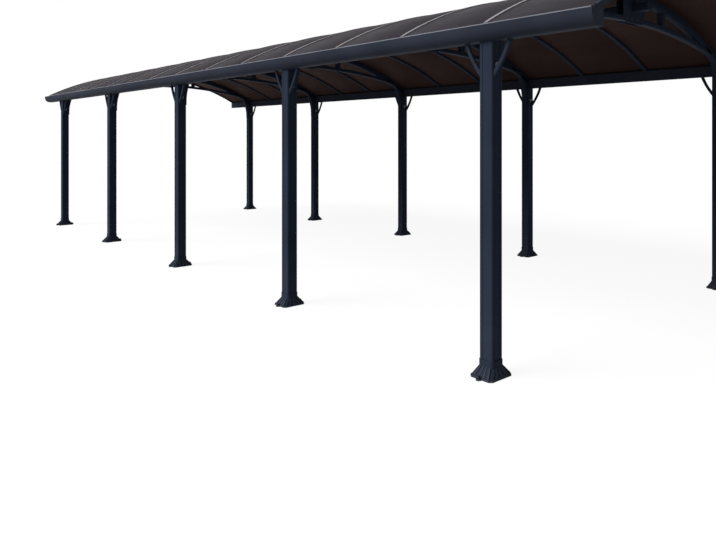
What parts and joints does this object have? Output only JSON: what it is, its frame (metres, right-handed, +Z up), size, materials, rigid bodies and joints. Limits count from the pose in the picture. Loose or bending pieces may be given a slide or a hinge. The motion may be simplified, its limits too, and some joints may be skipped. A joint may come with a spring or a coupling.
{
  "type": "carport",
  "caption": "Long open carport with an arched tinted sheet roof on ribs, lens-shaped trusses, braced posts on flared ribbed feet, and round-nosed gutters.",
  "frame": {"origin": "on the ground under the middle of the roof", "axes": "+X along the carport, +Y across it to the back row of posts, +Z up"},
  "size_m": [9.9, 3.654, 2.5328],
  "materials": {
    "frame": "dark blue-grey powder coat, satin",
    "feet": "dark blue-grey powder coat on castings, satin",
    "gutter": "dark blue-grey powder coat, semi-gloss",
    "rib": "dark blue-grey powder coat, satin",
    "sheet": "bronze-tinted twin-wall polycarbonate"
  },
  "bodies": {
    "root": {"back_feet": "feet", "back_gutter": "gutter", "back_gutter_braces": "frame", "back_knee_brackets": "frame", "back_post_1": "frame", "back_post_2": "frame", "back_post_3": "frame", "back_post_4": "frame", "back_post_5": "frame", "front_feet": "feet", "front_gutter": "gutter", "front_gutter_braces": "frame", "front_knee_brackets": "frame", "front_post_1": "frame", "front_post_2": "frame", "front_post_3": "frame", "front_post_4": "frame", "front_post_5": "frame", "gutter_end_caps": "gutter", "left_end_bar": "rib", "ridge_beam": "frame", "right_end_bar": "rib", "roof_panel_01": "sheet", "roof_panel_02": "sheet", "roof_panel_03": "sheet", "roof_panel_04": "sheet", "roof_panel_05": "sheet", "roof_panel_06": "sheet", "roof_panel_07": "sheet", "roof_panel_08": "sheet", "roof_panel_09": "sheet", "roof_panel_10": "sheet", "roof_panel_11": "sheet", "roof_panel_12": "sheet", "roof_panel_13": "sheet", "roof_panel_14": "sheet", "roof_ribs": "rib", "truss_1": "frame", "truss_2": "frame", "truss_3": "frame", "truss_4": "frame", "truss_5": "frame", "truss_splice_plates": "frame"}
  },
  "joints": []
}
